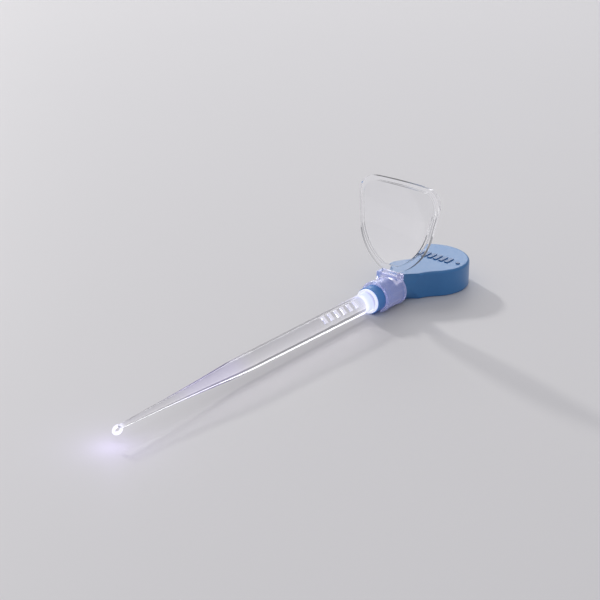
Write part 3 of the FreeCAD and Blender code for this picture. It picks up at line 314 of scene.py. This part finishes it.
# ---------------------------------------------------------------- battery contacts and spring
# Two stamped and bent strips of nickel-plated bronze touch the two sides of the cell.
# The return spring is wound from bright spring wire and pushes the lamp carrier forwards.
nickel, tree, shader, place = start_finish("nickel_plated_strip")
nickel_cloud = add_cloud(tree, shader, place, 1800.0, 0.18, 0.34)
tree.links.new(tint(tree, nickel_cloud.outputs["Height"], (0.60, 0.57, 0.50), (0.70, 0.67, 0.61)),
               shader.inputs["Base Color"])
shader.inputs["Metallic"].default_value = 1.0
paint(nickel, "negative_contact", "positive_contact")
wire, tree, shader, place = start_finish("bright_spring_wire")
wire_cloud = add_cloud(tree, shader, place, 3000.0, 0.16, 0.26)
tree.links.new(tint(tree, wire_cloud.outputs["Height"], (0.55, 0.55, 0.57), (0.66, 0.66, 0.68)),
               shader.inputs["Base Color"])
shader.inputs["Metallic"].default_value = 1.0
paint(wire, "return_spring")

# ---------------------------------------------------------------- lamp
# A 3 mm lamp cast in clear epoxy with a flange, on two tinned steel leads, one shorter.
# It is lit, so the epoxy is bright bluish white, brightest at its dome.
LAMP_BACK = 16.5 * MM
LAMP_FRONT = 22 * MM
epoxy, tree, shader, place = start_finish("lit_clear_epoxy")
epoxy_cloud = add_cloud(tree, shader, place, 400.0, 0.05, 0.12)
tree.links.new(tint(tree, epoxy_cloud.outputs["Height"], (0.86, 0.88, 0.95), (0.93, 0.94, 0.98)),
               shader.inputs["Base Color"])
lamp_mask = mask(tree, place, "Along", LAMP_BACK, LAMP_FRONT)
tree.links.new(tint(tree, lamp_mask, (0.30, 0.34, 0.60), (0.86, 0.88, 1.0)), shader.inputs["Emission Color"])
shader.inputs["Emission Strength"].default_value = 1.6
paint(epoxy, "lamp_body")
tinned, tree, shader, place = start_finish("tinned_steel_lead")
tinned_cloud = add_cloud(tree, shader, place, 3500.0, 0.30, 0.45)
tree.links.new(tint(tree, tinned_cloud.outputs["Height"], (0.58, 0.58, 0.60), (0.68, 0.68, 0.70)),
               shader.inputs["Base Color"])
shader.inputs["Metallic"].default_value = 1.0
paint(tinned, "anode_lead", "cathode_lead")

# ---------------------------------------------------------------- moving contact
# A small bent brass strip on top of the lamp carrier. It carries one of the lamp's leads, and
# closes the circuit when the rod pushes the carrier back.
brass, tree, shader, place = start_finish("rolled_brass")
brass_cloud = add_cloud(tree, shader, place, 2000.0, 0.22, 0.36)
tree.links.new(tint(tree, brass_cloud.outputs["Height"], (0.68, 0.48, 0.19), (0.78, 0.58, 0.27)),
               shader.inputs["Base Color"])
shader.inputs["Metallic"].default_value = 1.0
paint(brass, "moving_contact")

# ---------------------------------------------------------------- neck ferrule and grip ring
# A clear ring pressed into the front of the neck, where the lamp's light that it catches is painted on as a
# white glow, and behind it a soft silicone ring that grips the rod.
ferrule_painted_glow, tree, shader, place = start_finish("clear_ring_painted_glow")
ring_cloud = add_cloud(tree, shader, place, 1200.0, 0.10, 0.20)
tree.links.new(tint(tree, ring_cloud.outputs["Height"], (0.80, 0.83, 0.95), (0.90, 0.92, 1.0)),
               shader.inputs["Base Color"])
# Painted glow: white emission at the front edge of the ring, going to blue behind it.
ferrule_painted_glow_mask = mask(tree, place, "Along", NECK_FRONT - 1 * MM, NECK_FRONT + 1 * MM)
tree.links.new(tint(tree, ferrule_painted_glow_mask, (0.25, 0.35, 0.85), (0.85, 0.88, 1.0)), shader.inputs["Emission Color"])
shader.inputs["Emission Strength"].default_value = 0.6
paint(ferrule_painted_glow, "neck_ferrule")
silicone, tree, shader, place = start_finish("grey_silicone")
silicone_cloud = add_cloud(tree, shader, place, 1500.0, 0.55, 0.7)
tree.links.new(tint(tree, silicone_cloud.outputs["Height"], (0.50, 0.51, 0.55), (0.58, 0.59, 0.63)),
               shader.inputs["Base Color"])
paint(silicone, "grip_ring")

# ---------------------------------------------------------------- curette
# A clear acrylic rod with raised bars, a long taper and a small loop, moulded in one piece.
# It carries the lamp's light, which is painted on as emission: a glow at the neck, the bars and the loop,
# and a painted violet tinge between.
ROD_RADIUS = 3.15 * MM
ROD_END = 140.7 * MM
# Painted glow: where along the rod the emission for the mouth and the violet tinge starts and ends.
PAINTED_MOUTH_GLOW_END = 42 * MM
PAINTED_VIOLET_RISE = (88 * MM, 98 * MM)
PAINTED_VIOLET_FALL = (124 * MM, 112 * MM)
BAR_START = (40.5 * MM, 41.5 * MM)
BAR_EDGE = 0.03 * MM
SLANT_SHADE = 0.45


def make_clear(finish, tree, shader, base, ior, shade):
    """Turns a finish clear. Light that goes square through it keeps the shade colour, and aslant less."""
    shader.inputs["Base Color"].default_value = (*base, 1)
    shader.inputs["Transmission Weight"].default_value = 1.0
    shader.inputs["IOR"].default_value = ior
    thin = tree.nodes.new("ShaderNodeBsdfTransparent")
    slant = tree.nodes.new("ShaderNodeLayerWeight")
    slant.inputs["Blend"].default_value = 0.6
    deep = [part * SLANT_SHADE for part in shade]
    tree.links.new(tint(tree, slant.outputs["Facing"], shade, deep), thin.inputs["Color"])
    which = tree.nodes.new("ShaderNodeMixShader")
    path = tree.nodes.new("ShaderNodeLightPath")
    straight = join(tree, "ADD", path.outputs["Is Shadow Ray"], path.outputs["Is Diffuse Ray"])
    tree.links.new(straight, which.inputs["Fac"])
    tree.links.new(shader.outputs["BSDF"], which.inputs[1])
    tree.links.new(thin.outputs["BSDF"], which.inputs[2])
    tree.links.new(which.outputs["Shader"], tree.nodes["Material Output"].inputs["Surface"])


acrylic, tree, shader, place = start_finish("clear_acrylic_rod_painted_glow")
add_cloud(tree, shader, place, 500.0, 0.02, 0.06)
make_clear(acrylic, tree, shader, (0.965, 0.96, 0.985), 1.49, (0.95, 0.94, 0.97))
# Painted glow: emission masks for the mouth, the loop and the raised bars, and a painted violet tinge on the
# taper, in place of the light the rod carries.
painted_mouth_glow = mask(tree, place, "Along", PAINTED_MOUTH_GLOW_END, NECK_FRONT)
loop_light = mask(tree, place, "Along", ROD_END - 2 * MM, ROD_END + 0.5 * MM)
painted_violet_in = mask(tree, place, "Along", *PAINTED_VIOLET_RISE)
painted_violet_out = mask(tree, place, "Along", *PAINTED_VIOLET_FALL)
raised = mask(tree, place, "Out", ROD_RADIUS - BAR_EDGE, ROD_RADIUS + BAR_EDGE)
painted_bar_glow = join(tree, "MULTIPLY", raised, mask(tree, place, "Along", *BAR_START))
lit = join(tree, "ADD", join(tree, "ADD", painted_mouth_glow, loop_light), painted_bar_glow)
painted_violet_tint = tint(tree, join(tree, "MULTIPLY", painted_violet_in, painted_violet_out), (0.0, 0.0, 0.0), (0.06, 0.035, 0.18))
rod_painted_glow = tree.nodes.new("ShaderNodeMix")
rod_painted_glow.data_type = "RGBA"
rod_painted_glow.inputs["B"].default_value = (0.78, 0.78, 1.0, 1)
tree.links.new(lit, rod_painted_glow.inputs["Factor"])
tree.links.new(painted_violet_tint, rod_painted_glow.inputs["A"])
tree.links.new(rod_painted_glow.outputs["Result"], shader.inputs["Emission Color"])
shader.inputs["Emission Strength"].default_value = 0.3
paint(acrylic, "curette")

# ---------------------------------------------------------------- light that leaves the loop
# The lamp's light comes out at the loop and makes a small lavender pool on the table under it.
pool_data = bpy.data.lights.new("loop_light", "POINT")
pool_data.energy = 0.0011
pool_data.color = (0.62, 0.52, 1.0)
pool_data.shadow_soft_size = 0.0015
pool = bpy.data.objects.new("loop_light", pool_data)
bpy.context.scene.collection.objects.link(pool)
pool.location = (0.1445, 0.0005, 0.0075)
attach(pool, "curette")

# ---------------------------------------------------------------- magnifier collar
# A clear snap-on collar with a bead at each end and a block on top, moulded in acrylic.
# It is a little less clear than the rod, and a faint blue glow is painted on it for the blue of the neck
# that it picks up.
collar_clear_painted_glow, tree, shader, place = start_finish("clear_collar")
add_cloud(tree, shader, place, 700.0, 0.10, 0.18, 0.004 * MM)
make_clear(collar_clear_painted_glow, tree, shader, (0.88, 0.88, 0.98), 1.49, (0.82, 0.82, 0.9))
shader.inputs["Transmission Weight"].default_value = 0.86
# Painted glow: a faint blue emission over the whole collar.
shader.inputs["Emission Color"].default_value = (0.40, 0.44, 1.0, 1)
shader.inputs["Emission Strength"].default_value = 0.08
paint(collar_clear_painted_glow, "lens_collar")

# ---------------------------------------------------------------- magnifying lens
# A clear acrylic plate, domed and polished on both sides inside a flat rim, pushed into the block.
# It is almost unseen but for its edges, and has a very faint painted glow.
lens_clear_painted_glow, tree, shader, place = start_finish("clear_lens")
add_cloud(tree, shader, place, 300.0, 0.0, 0.02)
make_clear(lens_clear_painted_glow, tree, shader, (0.985, 0.985, 0.995), 1.49, (0.97, 0.97, 0.98))
# Painted glow: a very faint white emission over the whole lens.
shader.inputs["Emission Color"].default_value = (0.95, 0.95, 1.0, 1)
shader.inputs["Emission Strength"].default_value = 0.02
paint(lens_clear_painted_glow, "magnifier_lens")
